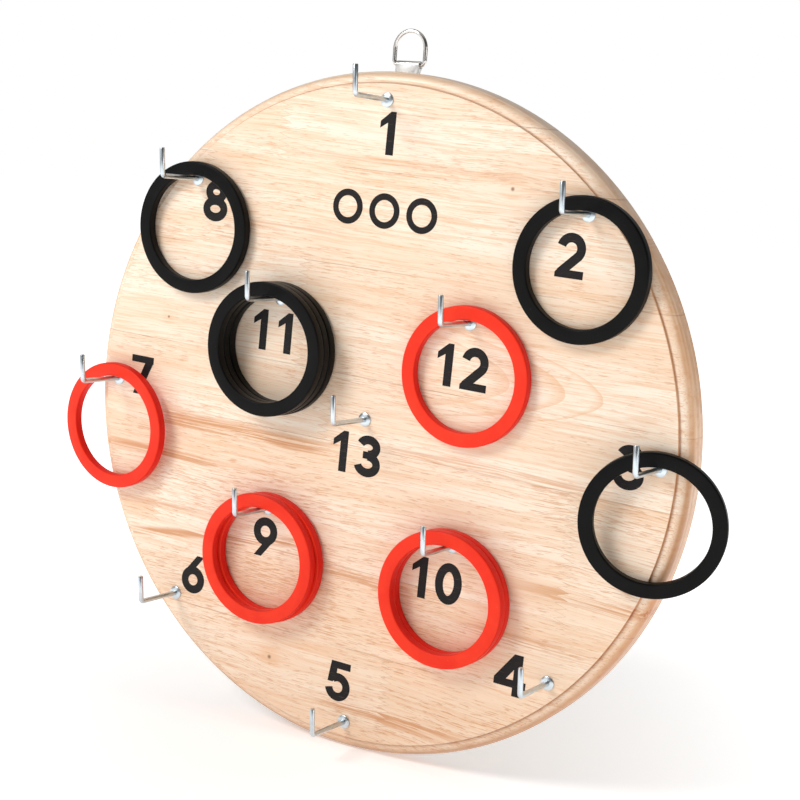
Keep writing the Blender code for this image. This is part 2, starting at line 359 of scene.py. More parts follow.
def stave_values(graph, height):
    """Each stave's tone, shifted joint place and seed, read from its height on the board."""
    ramp = graph.add("ShaderNodeValToRGB")
    ramp.color_ramp.interpolation = "CONSTANT"
    elements = ramp.color_ramp.elements
    while len(elements) > 1:
        elements.remove(elements[0])
    chance = random.Random(5)
    for index, (edge, joint, tone) in enumerate(reversed(STAVES)):
        place = max(0.0, 0.5 + edge / STAVE_SPAN)
        element = elements[0] if index == 0 else elements.new(place)
        element.position = place
        element.color = (tone, joint + JOINT_SHIFT, chance.random(), 1.0)
    graph.feed(ramp.inputs[0], graph.math("ADD", graph.math("DIVIDE", height, STAVE_SPAN), 0.5))
    split = graph.add("ShaderNodeSeparateColor", {0: ramp.outputs[0]})
    return split.outputs[0], split.outputs[1], split.outputs[2]


def wood_pieces(graph, along, height):
    """The tone, random numbers and joint lines of the finger-jointed pieces in each stave."""
    tone, joint, seed = stave_values(graph, height)
    finger = graph.math("PINGPONG", height, FINGER_PITCH / 2)
    finger = graph.math("MULTIPLY", finger, 2 * FINGER_LENGTH / FINGER_PITCH)
    place = graph.math("SUBTRACT", graph.math("ADD", along, JOINT_SHIFT + FINGER_LENGTH / 2), joint)
    place = graph.math("DIVIDE", graph.math("SUBTRACT", place, finger), STAVE_PIECE)
    seeds = graph.combine(graph.math("MULTIPLY", seed, 37.0), graph.math("FLOOR", place), 0.5)
    chance = graph.add("ShaderNodeTexWhiteNoise", {"Vector": seeds})
    joint_line = graph.line(graph.math("PINGPONG", place, 0.5), 0.0004, 0.002)
    return tone, chance.outputs[0], chance.outputs[1], joint_line


def bent_height(graph, along, height, lean):
    """Height on the board, bent so that lines of equal value follow the grain.

    The lean is a piece's own random number, which sets how its grain slopes.
    """
    plane = graph.combine(along, 0.0, height)
    wave = graph.math("SUBTRACT", graph.stretched_noise(plane, (8.0, 1.0, 26.0)), 0.5)
    bent = graph.math("MULTIPLY_ADD", wave, 0.007, height)
    slope = graph.math("MULTIPLY", graph.math("SUBTRACT", lean, 0.5), 0.05)
    bent = graph.math("ADD", bent, graph.math("MULTIPLY", along, slope))

    # The grain swerves round each speck.
    for x, z, radius in SPECKS:
        up = graph.math("SUBTRACT", height, z)
        out = graph.math("DIVIDE", graph.math("SUBTRACT", along, x), 2.2)
        far = graph.length(graph.combine(out, 0.0, up))
        near = graph.line(far, 0.0, radius * 11)
        swerve = graph.math("MULTIPLY", near, graph.math("MULTIPLY", up, 0.6))
        bent = graph.math("SUBTRACT", bent, swerve)
    return bent


def growth_arches(graph, along, height, broad):
    """Nested arches of growth rings that open to the left, on the flat-sawn part of the board."""
    up = graph.math("SUBTRACT", height, ARCH_MIDDLE)
    curve = graph.math("DIVIDE", graph.math("MULTIPLY", up, up), ARCH_BEND)
    wave = graph.math("MULTIPLY", graph.math("SUBTRACT", broad, 0.5), 0.012)
    place = graph.math("ADD", graph.math("ADD", along, curve), wave)
    inside = graph.math("SUBTRACT", ARCH_TIP, place)
    spaced = graph.math("POWER", graph.math("MAXIMUM", inside, 0.0), 0.75)
    ring = graph.math("FRACT", graph.math("DIVIDE", spaced, ARCH_SPACING))
    ring = graph.line(ring, 0.0, 0.42)
    keep = graph.math("MULTIPLY", graph.smooth(inside, -0.0004, 0.0), graph.line(inside, 0.02, ARCH_REACH))
    keep = graph.math("MULTIPLY", keep, graph.line(graph.math("ABSOLUTE", up), 0.02, 0.034))
    return graph.math("MULTIPLY", ring, keep)


def amber_streaks(graph, along, height, patches):
    """The bands that the streaks lie in, each a little wavy and faded at both ends."""
    streak = 0.0
    wander = graph.math("MULTIPLY", graph.math("SUBTRACT", patches, 0.5), 0.005)
    wandering = graph.math("ADD", height, wander)
    for left, right, left_height, right_height, half_width, strength in STREAKS:
        slope = (right_height - left_height) / (right - left)
        middle = graph.math("MULTIPLY_ADD", along, slope, left_height - slope * left)
        off = graph.math("ABSOLUTE", graph.math("SUBTRACT", wandering, middle))
        band = graph.line(off, half_width * 0.25, half_width * 1.2)
        started = graph.smooth(along, left - 0.02, left + 0.02)
        reach = graph.math("MULTIPLY", started, graph.line(along, right - 0.015, right + 0.025))
        band = graph.math("MULTIPLY", graph.math("MULTIPLY", band, reach), strength)
        streak = graph.math("ADD", streak, band)
    return streak


def glue_lines(graph, height):
    """The thin lines between the staves."""
    seam = 0.0
    for edge, _joint, _tone in STAVES[:-1]:
        off = graph.math("ABSOLUTE", graph.math("SUBTRACT", height, edge))
        seam = graph.math("ADD", seam, graph.line(off, 0.0001, 0.0004))
    return seam


def speck_masks(graph, along, height):
    """The specks themselves, and the darker halos round them."""
    speck = 0.0
    halo = 0.0
    for x, z, radius in SPECKS:
        out = graph.math("SUBTRACT", along, x)
        up = graph.math("SUBTRACT", height, z)
        far = graph.length(graph.combine(out, 0.0, up))
        speck = graph.math("ADD", speck, graph.line(far, radius * 0.2, radius * 1.5))
        halo = graph.math("ADD", halo, graph.line(far, radius, radius * 10))
    return speck, halo


def rim_tints(graph, base, edge_on, along, depth, height):
    """The rim: darker end grain, painted shade on its faces that do not face up and on its underside,
    faint hoops that the cutter left, and a dark line of painted shade in the step's groove.
    """
    facing = graph.normal()
    end_grain = graph.smooth(graph.math("ABSOLUTE", facing[0]), 0.25, 0.95)
    base = graph.mix(graph.math("MULTIPLY", end_grain, 0.6), base, END_GRAIN_AND_SHADE_TINT, "MULTIPLY")
    # Painted shade: the rim's faces that do not face up are darkened with the end grain's tint.
    turned_down_shade = graph.math("MULTIPLY", edge_on, graph.line(facing[2], -0.1, 0.6))
    base = graph.mix(graph.math("MULTIPLY", turned_down_shade, 0.6), base, END_GRAIN_AND_SHADE_TINT, "MULTIPLY")
    # Painted shade under the board.
    underside_shade = graph.line(facing[2], -0.85, -0.05)
    base = graph.mix(underside_shade, base, UNDERSIDE_SHADE_TINT, "MULTIPLY")

    hoops = graph.stretched_noise(graph.combine(along, depth, height), (5.0, 330.0, 5.0), 1.0)
    hoops = graph.math("MULTIPLY", graph.smooth(hoops, 0.42, 0.58), graph.math("MULTIPLY", edge_on, 0.55))
    base = graph.mix(hoops, base, RIM_BAND_TINT, "MULTIPLY")

    # Painted shade: a dark line in the groove of the step, where shade gathers.
    radius = graph.length(graph.combine(along, 0.0, height))
    off = graph.math("ABSOLUTE", graph.math("SUBTRACT", radius, FACE_RADIUS + 0.0002))
    sunk = graph.math("SUBTRACT", depth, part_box("board")[0].y)
    below = graph.math("MULTIPLY", graph.smooth(sunk, 0.0005, 0.0012), graph.line(sunk, 0.003, 0.005))
    quirk_shade = graph.math("MULTIPLY", graph.line(off, 0.0002, 0.0009), below)
    return graph.mix(graph.math("MULTIPLY", quirk_shade, 0.6), base, QUIRK_SHADE_TINT, "MULTIPLY")


def wood_material():
    """Pale edge-glued hardwood: staves, finger joints, growth rings, streaks, pores and specks."""
    graph = new_graph("pale_wood_grain")
    turned = graph.add("ShaderNodeMapping", {"Vector": graph.object_coordinates()})
    turned.inputs["Rotation"].default_value = (0, -PANEL_TURN, 0)
    along, depth, height = graph.add("ShaderNodeSeparateXYZ", {0: turned.outputs[0]}).outputs
    tone, piece_tone, piece_shift, joint_line = wood_pieces(graph, along, height)
    bent = bent_height(graph, along, height, piece_tone)
    shift = graph.vector("MULTIPLY", piece_shift, (3.0, 3.0, 3.0))
    point = graph.vector("ADD", graph.combine(along, depth, bent), shift)

    def flecks(length, width, detail, roughness=0.5):
        """Noise drawn out along the grain, given the length and width of a fleck."""
        return graph.stretched_noise(point, (1 / length, 1 / width, 1 / width), detail, roughness)

    broad = flecks(0.3, 0.016, 2.0)
    bands = flecks(0.10, 0.0034, 4.0, 0.65)
    fine = flecks(0.032, 0.0008, 3.0, 0.65)
    pores = flecks(0.0095, 0.00055, 2.0, 0.6)
    strands = graph.smooth(flecks(0.07, 0.0012, 2.0), 0.38, 0.56)
    patches = graph.stretched_noise(point, (14.0, 40.0, 40.0))

    arches = growth_arches(graph, along, height, broad)
    streak = graph.math("MULTIPLY", amber_streaks(graph, along, height, patches), strands, clamp=True)
    speck, halo = speck_masks(graph, along, height)
    edge_on = graph.line(graph.math("ABSOLUTE", graph.normal()[1]), 0.6, 0.995)
    long_grain = graph.math("SUBTRACT", 1.0, edge_on)

    # The ground: pale to peach by stave and piece, with broad clouds, bands and growth rings.
    blend = graph.math("MULTIPLY_ADD", piece_tone, 0.4, graph.math("MULTIPLY", tone, 0.9))
    clouds = graph.math("SUBTRACT", graph.smooth(broad, 0.3, 0.7), 0.6)
    blend = graph.math("ADD", blend, clouds, clamp=True)
    base = graph.mix(blend, PALE_WOOD, PEACH_WOOD)
    band_mask = graph.math("MULTIPLY", graph.smooth(bands, 0.45, 0.66), 0.42)
    base = graph.mix(band_mask, base, TAN_WOOD)
    base = graph.mix(graph.math("MULTIPLY", arches, 0.62, clamp=True), base, TAN_WOOD)

    # Fine lines and pores, which show on the long grain only.
    fine_mask = graph.math("MULTIPLY", graph.smooth(fine, 0.50, 0.62), 0.5)
    fine_mask = graph.math("MULTIPLY", fine_mask, long_grain)
    base = graph.mix(fine_mask, base, TAN_WOOD)
    busy = graph.math("MULTIPLY_ADD", patches, -0.34, 0.775)
    busy = graph.math("MULTIPLY_ADD", tone, -0.03, busy)
    pore_mask = graph.math("SUBTRACT", pores, busy)
    pore_depth = graph.math("MULTIPLY_ADD", tone, 0.22, 0.42)
    pore_mask = graph.math("MULTIPLY", graph.smooth(pore_mask, -0.015, 0.05), pore_depth)
    pore_mask = graph.math("MULTIPLY", pore_mask, long_grain)
    base = graph.mix(pore_mask, base, ORANGE_WOOD)

    # Streaks, glue lines, joints, and specks with their halos.
    base = graph.mix(graph.math("MULTIPLY", streak, 0.9), base, AMBER_WOOD)
    faded = graph.math("MULTIPLY", graph.smooth(patches, 0.35, 0.6), 0.45)
    seams = graph.math("MULTIPLY", glue_lines(graph, height), faded)
    lines = graph.math("MAXIMUM", seams, graph.math("MULTIPLY", joint_line, 0.4), clamp=True)
    base = graph.mix(lines, base, BROWN_WOOD)
    halo = graph.math("MULTIPLY", halo, graph.smooth(bands, 0.36, 0.62), clamp=True)
    base = graph.mix(graph.math("MULTIPLY", halo, 0.55), base, TAN_WOOD)
    base = graph.mix(graph.math("MULTIPLY", speck, 0.85, clamp=True), base, KNOT_WOOD)
    base = rim_tints(graph, base, edge_on, along, depth, height)

    relief = graph.math("MULTIPLY_ADD", fine_mask, 0.5, pore_mask)
    relief = graph.math("ADD", relief, graph.math("MULTIPLY", lines, 0.7))
    return graph.finish(
        Base_Color=base,
        Roughness=graph.math("MULTIPLY_ADD", graph.math("MULTIPLY", fine, long_grain), 0.2, 0.42),
        Normal=graph.bump(graph.math("SUBTRACT", 1.0, relief), 0.00008, 0.6),
        Specular_IOR_Level=0.35,
        Coat_Weight=0.4,
        Coat_Roughness=0.22,
    )


def ink_material():
    """Screen-printed ink, slightly broken up by the wood's pores."""
    graph = new_graph("number_ink")
    point = graph.object_coordinates()
    pores = graph.stretched_noise(point, (160, 2400, 2400), 2.0, 0.6)
    patch = graph.noise(point, 120.0, 3.0)
    worn = graph.math("MULTIPLY", graph.smooth(pores, 0.6, 0.78), 0.18)
    ink = graph.mix(patch, color(0.007, 0.0055, 0.006), color(0.014, 0.012, 0.0125))
    ink = graph.mix(worn, ink, color(0.30, 0.20, 0.13))
    return graph.finish(
        Base_Color=ink,
        Roughness=graph.math("MULTIPLY_ADD", patch, 0.15, 0.38),
        Specular_IOR_Level=0.18,
        Normal=graph.bump(pores, 0.00004, 0.5),
    )


def rubber_material(name, face, mottle, side, dust, gloss):
    """Moulded matt rubber: faint flow marks, sides darkened as painted shade, a fine grain and a little
    dust.
    """
    graph = new_graph(name)
    point = graph.object_coordinates()
    cloud = graph.noise(point, 45.0, 4.0, 0.6, 0.6)
    grain = graph.noise(point, 2200.0, 3.0, 0.6)
    motes = graph.noise(point, 900.0, 1.0)
    base = graph.mix(graph.smooth(cloud, 0.3, 0.75), mottle, face)
    # Painted shade: the walls, which turn away from the front, take the darker side colour.
    edge_on = graph.line(graph.math("ABSOLUTE", graph.normal()[1]), 0.4, 0.9)
    base = graph.mix(graph.math("MULTIPLY", edge_on, 0.85), base, side)
    specks = graph.math("MULTIPLY", graph.smooth(motes, 0.74, 0.82), 0.3)
    base = graph.mix(specks, base, dust)
    height = graph.math("MULTIPLY_ADD", cloud, 0.6, grain)
    return graph.finish(
        Base_Color=base,
        Roughness=graph.math("MULTIPLY_ADD", grain, 0.2, 0.28),
        Specular_IOR_Level=gloss,
        Normal=graph.bump(height, 0.00006, 0.6),
    )


def plated_material(name, bright, shade, roughness):
    """Bright plated steel: tiny tone changes, rubbed patches and fine drawing marks."""
    graph = new_graph(name)
    point = graph.object_coordinates()
    cloud = graph.noise(point, 260.0, 3.0, 0.6)
    marks = graph.stretched_noise(point, (1800, 260, 1800))
    base = graph.mix(graph.smooth(cloud, 0.35, 0.7), shade, bright)
    rough = graph.math("MULTIPLY_ADD", cloud, 0.1, roughness)
    return graph.finish(
        Base_Color=base,
        Metallic=1.0,
        Roughness=rough,
        Normal=graph.bump(marks, 0.000003, 0.2),
    )


def floor_material():
    """A pale studio floor with the faintest mottling, and a painted glow that lights it up away from the
    object and to its right, where the board's shadow falls.
    """
    graph = new_graph("pale_floor")
    point = graph.object_coordinates()
    cloud = graph.noise(point, 6.0, 3.0)
    base = graph.mix(cloud, color(0.92, 0.92, 0.92), color(0.95, 0.95, 0.945))
    # Painted light: the floor glows, more away from the object and more to its right, so that the board's
    # shadow on it fades.
    far = graph.smooth(graph.length(point), 0.12, 0.62)
    across = graph.add("ShaderNodeSeparateXYZ", {0: point}).outputs[0]
    painted_glow = graph.math("MULTIPLY_ADD", graph.smooth(across, -0.1, 0.3), 0.28, 0.29)
    return graph.finish(
        Base_Color=base,
        Roughness=0.7,
        Emission_Color=color(1, 1, 1),
        Emission_Strength=graph.math("MULTIPLY_ADD", far, 0.55, painted_glow),
    )


# ---------------------------------------------------------------------------------------------
# Meshes
# ---------------------------------------------------------------------------------------------


def new_piece(name, data, material, body, node=None):
    """Links a finished piece, gives it its material, ties it to its CAD body and hides the CAD node that
    it replaces.
    """
    piece = bpy.data.objects.new(name, data)
    bpy.context.scene.collection.objects.link(piece)
    data.materials.clear()
    data.materials.append(material)
    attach(piece, body)
    if node is not None:
        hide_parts(node)
    return piece


def fixed_order(shape):
    """Sorts the elements by place, because an extrude leaves them in another order each run."""
    shape.verts.sort(key=lambda vert: vert.co.dot(SORT_DIRECTION))
    shape.edges.sort(key=lambda edge: (edge.verts[0].co + edge.verts[1].co).dot(SORT_DIRECTION))
    shape.faces.sort(key=lambda face: face.calc_center_median().dot(SORT_DIRECTION))


def mesh_from(shape, name, sharp_angle=35):
    fixed_order(shape)
    bmesh.ops.recalc_face_normals(shape, faces=shape.faces)
    mesh = bpy.data.meshes.new(name)
    shape.to_mesh(mesh)
    shape.free()
    mesh.shade_smooth()
    mesh.set_sharp_from_angle(angle=math.radians(sharp_angle))
    return mesh


def oval(center, half_width, half_height, start, end, count=28):
    """Points on an oval, or on part of one, with angles in degrees and both ends included."""
    points = []
    for index in range(count + 1):
        angle = math.radians(start + (end - start) * index / count)
        across, up = half_width * math.cos(angle), half_height * math.sin(angle)
        points.append((center[0] + across, center[1] + up))
    return points


def arc(center, radius, start, end, count):
    return oval(center, radius, radius, start, end, count)


def lathe(name, profile, segments, matrix, closed=True, sharp_angle=35):
    """A turned mesh: (radius, height) points go round the local Z axis, then through matrix."""
    shape = bmesh.new()
    points = [shape.verts.new((radius, 0, height)) for radius, height in profile]
    pairs = list(zip(points, points[1:]))
    if closed:
        pairs.append((points[-1], points[0]))
    edges = [shape.edges.new(pair) for pair in pairs]
    bmesh.ops.spin(
        shape,
        geom=points + edges,
        axis=(0, 0, 1),
        cent=(0, 0, 0),
        angle=2 * math.pi,
        steps=segments,
        use_merge=True,
    )
    bmesh.ops.remove_doubles(shape, verts=shape.verts, dist=0.000001)
    bmesh.ops.transform(shape, matrix=matrix, verts=shape.verts)
    return mesh_from(shape, name, sharp_angle)


def helper(mesh):
    """A passing object that a modifier needs."""
    obj = bpy.data.objects.new("helper", mesh)
    bpy.context.scene.collection.objects.link(obj)
    return obj


def carved(mesh, cutters, operation="DIFFERENCE", bevel=0.0):
    """The mesh cut by other meshes, then with its sharp edges rounded."""
    obj = helper(mesh)
    others = [helper(cutter) for cutter in cutters]
    for other in others:
        cut = obj.modifiers.new("cut", "BOOLEAN")
        cut.operation = operation
        cut.object = other
    if bevel:
        rounded = obj.modifiers.new("bevel", "BEVEL")
        rounded.width = bevel
        rounded.segments = 2
        rounded.limit_method = "ANGLE"
        rounded.angle_limit = math.radians(40)
    bpy.context.view_layer.update()
    graph = bpy.context.evaluated_depsgraph_get()
    result = bpy.data.meshes.new_from_object(obj.evaluated_get(graph))
    for item in [obj] + others:
        bpy.data.objects.remove(item, do_unlink=True)
    return result


def wire_curve(name, points, radius, radii=None, cyclic=False):
    """A round wire as a curve through a list of points."""
    curve = bpy.data.curves.new(name, "CURVE")
    curve.dimensions = "3D"
    curve.bevel_depth = radius
    curve.bevel_resolution = WIRE_RESOLUTION
    curve.use_fill_caps = not cyclic
    spline = curve.splines.new("POLY")
    spline.points.add(len(points) - 1)
    spline.use_cyclic_u = cyclic
    spline.use_smooth = True
    for index, point in enumerate(points):
        spline.points[index].co = (*point, 1)
        if radii is not None:
            spline.points[index].radius = radii[index]
    return curve


def facing_front(x, z, y):
    """A frame whose local +Z points out of the board's face and whose +Y points up."""
    return Matrix.Translation((x, y, z)) @ Matrix.Rotation(math.radians(90), 4, "X")


def facing_back(x, z, y):
    return Matrix.Translation((x, y, z)) @ Matrix.Rotation(math.radians(-90), 4, "X")


# ---------------------------------------------------------------------------------------------
# The board and its print
# ---------------------------------------------------------------------------------------------


def make_board(material):
    low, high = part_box("board")
    radius = (high.x - low.x) / 2
    top = high.y - low.y
    shelf = top - STEP_DEPTH
    moulding = radius - FACE_RADIUS - SHELF_WIDTH
    moulding_center = (FACE_RADIUS + SHELF_WIDTH, shelf - moulding)
    back_center = (radius - BACK_EDGE_RADIUS, BACK_EDGE_RADIUS)
    profile = [(0, top)]
    profile += arc((FACE_RADIUS - EASE, top - EASE), EASE, 90, 0, 3)
    profile += [(FACE_RADIUS, shelf + EASE), (FACE_RADIUS + EASE / 2, shelf)]
    profile += arc(moulding_center, moulding, 90, 0, 12)
    profile += arc(back_center, BACK_EDGE_RADIUS, 0, -90, 5)
    profile.append((0, 0))
    matrix = facing_front(0, 0, high.y)
    mesh = lathe("board_panel", profile, BOARD_SEGMENTS, matrix, closed=False, sharp_angle=40)
    new_piece("board_panel", mesh, material, BOARD_BODY, "board")


def hook_centers():
    """Hook number to the (x, z) place where its screw enters the board."""
    centers = {}
    for number in NUMBER_OFFSETS:
        low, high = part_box(f"hook_collar_{number}")
        centers[number] = ((low.x + high.x) / 2, (low.z + high.z) / 2)
    return centers


def stroke_outline(points, width):
    """The closed outline of a stroke of even width along a list of points, with square ends."""
    left, right = [], []
    for index, point in enumerate(points):
        before = Vector(points[max(index - 1, 0)])
        after = Vector(points[min(index + 1, len(points) - 1)])
        run = (after - before).normalized()
        side = Vector((-run.y, run.x)) * width / 2
        left.append(tuple(Vector(point) + side))
        right.append(tuple(Vector(point) - side))
    return left + right[::-1]


def bowl(center, half_width, half_height, stroke=STROKE):
    """A whole oval stroke as two halves that overlap a little."""
    right = stroke_outline(oval(center, half_width, half_height, -92, 92), stroke)
    left = stroke_outline(oval(center, half_width, half_height, 88, 272), stroke)
    return [right, left]


def rectangle(left, bottom, right, top):
    return [(left, bottom), (right, bottom), (right, top), (left, top)]


def half_turn(outlines, center):
    """The outlines turned by 180 degrees about a point."""
    return [[(2 * center[0] - x, 2 * center[1] - y) for x, y in outline] for outline in outlines]


def digit_outlines():
    """Plain bold digits of height 1, each as overlapping closed outlines, and their widths."""
    bottom_oval = (0.355, 0.355)
    round_radius = 0.355 - STROKE / 2
    six = bowl(bottom_oval, round_radius, round_radius)
    six.append([(0.045, 0.50), (0.43, 1.0), (0.65, 1.0), (0.36, 0.615), (0.20, 0.45)])
    two_top = oval((0.345, 0.655), 0.243, 0.243, 168, -38)
    two = [
        stroke_outline(two_top + [(0.12, 0.10)], STROKE),
        [(0, 0), (0.69, 0), (0.69, 0.18), (0.06, 0.18), (0, 0.11)],
    ]
    three = [
        stroke_outline(oval((0.345, 0.72), 0.228, 0.1775, 160, -90), STROKE),
        stroke_outline(oval((0.345, 0.305), 0.26, 0.2025, 90, -168), STROKE),
        rectangle(0.21, 0.435, 0.36, 0.61),
    ]
    four = [
        rectangle(0.49, 0, 0.70, 1.0),
        rectangle(0, 0.20, 0.82, 0.38),
        [(0, 0.30), (0.25, 0.30), (0.57, 0.74), (0.57, 1.0), (0.47, 1.0), (0, 0.365)],
    ]
    five = [
        stroke_outline(oval(bottom_oval, round_radius, round_radius, 128, -170), STROKE),
        rectangle(0.13, 0.82, 0.68, 1.0),
        [(0.055, 0.46), (0.20, 0.46), (0.29, 0.56), (0.315, 0.9), (0.13, 1.0)],
    ]
    one = [[(0.2, 0), (0.41, 0), (0.41, 1), (0.27, 1), (0, 0.77), (0, 0.61), (0.2, 0.74)]]
    seven = [
        rectangle(0, 0.82, 0.70, 1.0),
        [(0.10, 0), (0.32, 0), (0.70, 0.86), (0.70, 0.95), (0.46, 0.9)],
    ]
    eight = bowl((0.36, 0.72), 0.212, 0.1775) + bowl((0.36, 0.305), 0.262, 0.2025)
    return {
        "0": (bowl((0.355, 0.5), 0.25, 0.394), 0.71),
        "1": (one, 0.41),
        "2": (two, 0.69),
        "3": (three, 0.70),
        "4": (four, 0.82),
        "5": (five, 0.71),
        "6": (six, 0.71),
        "7": (seven, 0.70),
        "8": (eight, 0.72),
        "9": (half_turn(six, (bottom_oval[0], 0.5)), 0.71),
    }


def prism(outline, thickness):
    """A mesh plate with this closed outline in the XY plane."""
    shape = bmesh.new()
    face = shape.faces.new([shape.verts.new((x, y, 0)) for x, y in outline])
    made = bmesh.ops.extrude_face_region(shape, geom=[face])
    raised = [item for item in made["geom"] if isinstance(item, bmesh.types.BMVert)]
    bmesh.ops.translate(shape, verts=raised, vec=(0, 0, thickness))
    fixed_order(shape)
    bmesh.ops.recalc_face_normals(shape, faces=shape.faces)
    mesh = bpy.data.meshes.new("plate")
    shape.to_mesh(mesh)
    shape.free()
    return mesh


def united(outlines, thickness):
    """One mesh plate from overlapping outlines, joined with exact Booleans."""
    plates = [prism(outline, thickness) for outline in outlines]
    return carved(plates[0], plates[1:], "UNION")


def joined_mesh(name, parts):
    """One mesh from several, each given with its matrix."""
    shape = bmesh.new()
    for mesh, matrix in parts:
        copy = mesh.copy()
        copy.transform(matrix)
        shape.from_mesh(copy)
        bpy.data.meshes.remove(copy)
    mesh = bpy.data.meshes.new(name)
    shape.to_mesh(mesh)
    shape.free()
    return mesh


def make_numbers(centers, face_y, material):
    """The printed numbers 1 to 13, each one piece on the board's face."""
    digits = {
        digit: (united(outlines, 1.0), width)
        for digit, (outlines, width) in digit_outlines().items()
    }
    scale = Matrix.Diagonal((NUMBER_HEIGHT, NUMBER_HEIGHT, INK, 1))
    for number, offset in NUMBER_OFFSETS.items():
        reach = 0.0
        parts = []
        for index, digit in enumerate(str(number)):
            mesh, width = digits[digit]
            if index:
                reach += GAP_BEFORE_ONE if digit == "1" else DIGIT_GAP
            parts.append((mesh, reach))
            reach += width
        center = Matrix.Translation((-reach / 2, -0.5, 0))
        x, z = centers[number]
        place = facing_front(x + offset[0], z + offset[1], face_y)
        place = place @ Matrix.Rotation(-PANEL_TURN, 4, "Z")
        parts = [
            (mesh, place @ scale @ center @ Matrix.Translation((start, 0, 0)))
            for mesh, start in parts
        ]
        name = f"number_{number}"
        new_piece(name, joined_mesh(name, parts), material, BOARD_BODY)


def make_plain_mark(face_y, material):
    """Three plain printed rings in a row, below the top hook."""
    parts = []
    for step in (-1, 0, 1):
        across = step * MARK_PITCH
        center = (MARK_CENTER[0] + across, MARK_CENTER[1] - across * math.sin(PANEL_TURN))
        halves = bowl(center, MARK_RADIUS, MARK_RADIUS, MARK_STROKE)
        parts.append((united(halves, INK), facing_front(0, 0, face_y)))
    new_piece("plain_mark", joined_mesh("plain_mark", parts), material, BOARD_BODY)


# ---------------------------------------------------------------------------------------------
# Hooks, rings and hanger
# ---------------------------------------------------------------------------------------------


def make_hook(number, center, face_y, material):
    """The bent wire of one hook, from its point in the wood to the cut end of its arm."""
    low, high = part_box(f"hook_{number}")
    radius = (high.x - low.x) / 2
    x, z = center
    shank = Vector((0, -math.cos(SHANK_RISE), math.sin(SHANK_RISE)))
    arm = Vector((0, -math.sin(ARM_LEAN), math.cos(ARM_LEAN)))
    tip = Vector((x, low.y + radius * math.cos(ARM_LEAN), high.z - radius * math.sin(ARM_LEAN)))
    start = Vector((x, face_y, z))

    # The corner is where the shank's line meets the arm's line.
    gap = tip - start
    along = (gap.y * arm.z - gap.z * arm.y) / (shank.y * arm.z - shank.z * arm.y)
    corner = start + shank * along
    turn = shank.angle(arm)
    setback = BEND_RADIUS * math.tan(turn / 2)
    bend_center = corner + (arm - shank).normalized() * BEND_RADIUS / math.cos(turn / 2)
    bend_start = corner - shank * setback

    points = [Vector((x, high.y, z)), Vector((x, high.y - SCREW_POINT_LENGTH, z)), start]
    radii = [POINT_SHARE, 1.0, 1.0]
    for index in range(BEND_STEPS + 1):
        spun = Matrix.Rotation(-turn * index / BEND_STEPS, 3, "X")
        points.append(bend_center + spun @ (bend_start - bend_center))
        radii.append(1.0)
    points += [tip - arm * TIP_EASE, tip]
    radii += [1.0, TIP_SHARE]
    name = f"hook_wire_{number}"
    curve = wire_curve(name, points, radius, radii)
    new_piece(name, curve, material, BOARD_BODY, f"hook_{number}")


def make_collar(number, center, face_y, material):
    """A domed washer with a rolled rim, tight round the hook's shank."""
    low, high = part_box(f"hook_collar_{number}")
    radius = (high.x - low.x) / 2
    rise = face_y - low.y
    rim = COLLAR_RIM_RADIUS
    profile = [(radius * COLLAR_BORE, rise * 0.72)]
    for share in (0.38, 0.5, 0.62, 0.74, 0.84):
        profile.append((radius * share, rise * (1 - 0.5 * share**3)))
    profile += arc((radius - rim, rise * 0.56 - rim), rim, 75, -20, 4)
    profile += [(radius * 0.99, 0.0), (radius * COLLAR_BORE, 0.0)]
    name = f"collar_dome_{number}"
    mesh = lathe(name, profile, COLLAR_SEGMENTS, facing_front(*center, face_y))
    new_piece(name, mesh, material, BOARD_BODY, f"hook_collar_{number}")


def ring_pose(node):
    """Centre and axes of a CAD ring, worked out from its own vertices."""
    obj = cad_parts[node]
    points = np.array([obj.matrix_world @ vertex.co for vertex in obj.data.vertices])
    points = np.unique(points.round(6), axis=0)
    center = (points.min(0) + points.max(0)) / 2
    _values, axes = np.linalg.eigh(np.cov((points - center).T))
    normal = Vector(axes[:, 0])
    if normal.y > 0:
        normal = -normal
    level = Vector((0, 0, 1)).cross(normal).normalized()
    up = normal.cross(level)
    flat = (points - center) @ np.array(normal)
    spread = (points - center) - np.outer(flat, np.array(normal))
    radii = np.hypot(*(spread @ np.array([level, up]).T).T)
    matrix = Matrix((level, up, normal)).transposed().to_4x4()
    return Matrix.Translation(center) @ matrix, radii.max(), radii.min(), flat.max() - flat.min()


def make_ring(node, material):
    """A flat rubber ring with small rounded edges, exactly where its CAD ring is."""
    matrix, outer, inner, thickness = ring_pose(node)
    half = thickness / 2
    edge = RING_EDGE_RADIUS
    profile = arc((outer - edge, half - edge), edge, 90, 0, 5)
    profile += arc((outer - edge, edge - half), edge, 0, -90, 5)
    profile += arc((inner + edge, edge - half), edge, -90, -180, 5)
    profile += arc((inner + edge, half - edge), edge, 180, 90, 5)
    name = node.replace("_ring_", "_quoit_")
    mesh = lathe(name, profile, RING_SEGMENTS, matrix)
    new_piece(name, mesh, material, node, node)


def slab(outline, thickness, matrix):
    """A plate centred on the XY plane, then put through matrix."""
    mesh = prism(outline, thickness)
    mesh.transform(matrix @ Matrix.Translation((0, 0, -thickness / 2)))
    return mesh


